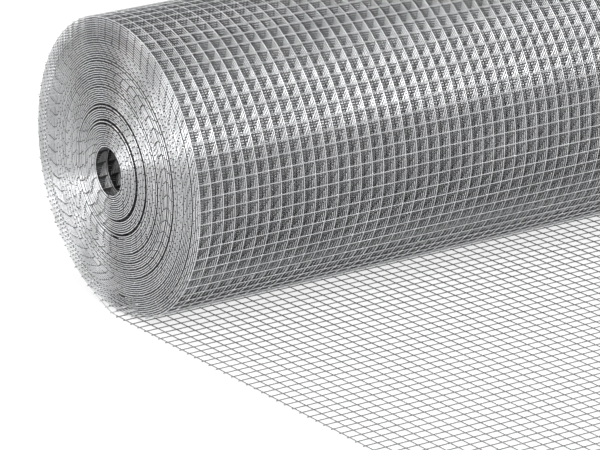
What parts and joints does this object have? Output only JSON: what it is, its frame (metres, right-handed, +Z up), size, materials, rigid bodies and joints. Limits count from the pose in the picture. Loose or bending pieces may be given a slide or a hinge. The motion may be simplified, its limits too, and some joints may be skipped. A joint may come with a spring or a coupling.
{
  "type": "roll of welded wire mesh fencing",
  "caption": "Roll of galvanised welded square wire mesh lying on its side, open along its middle, with its free end run out flat on the floor.",
  "frame": {"origin": "middle of the part's box at floor level", "axes": "+X along the roll's axis, +Z up, the flat sheet runs out from under the roll towards -Y"},
  "size_m": [0.6158, 0.7378, 0.2917],
  "materials": {
    "galvanised_wire": "bright hot-dip zinc, satin"
  },
  "bodies": {
    "root": {"mesh_roll": "galvanised_wire", "sheet_strip_1": "galvanised_wire", "sheet_strip_2": "galvanised_wire", "sheet_strip_3": "galvanised_wire", "sheet_strip_4": "galvanised_wire", "sheet_strip_5": "galvanised_wire", "sheet_strip_6": "galvanised_wire"}
  },
  "joints": []
}
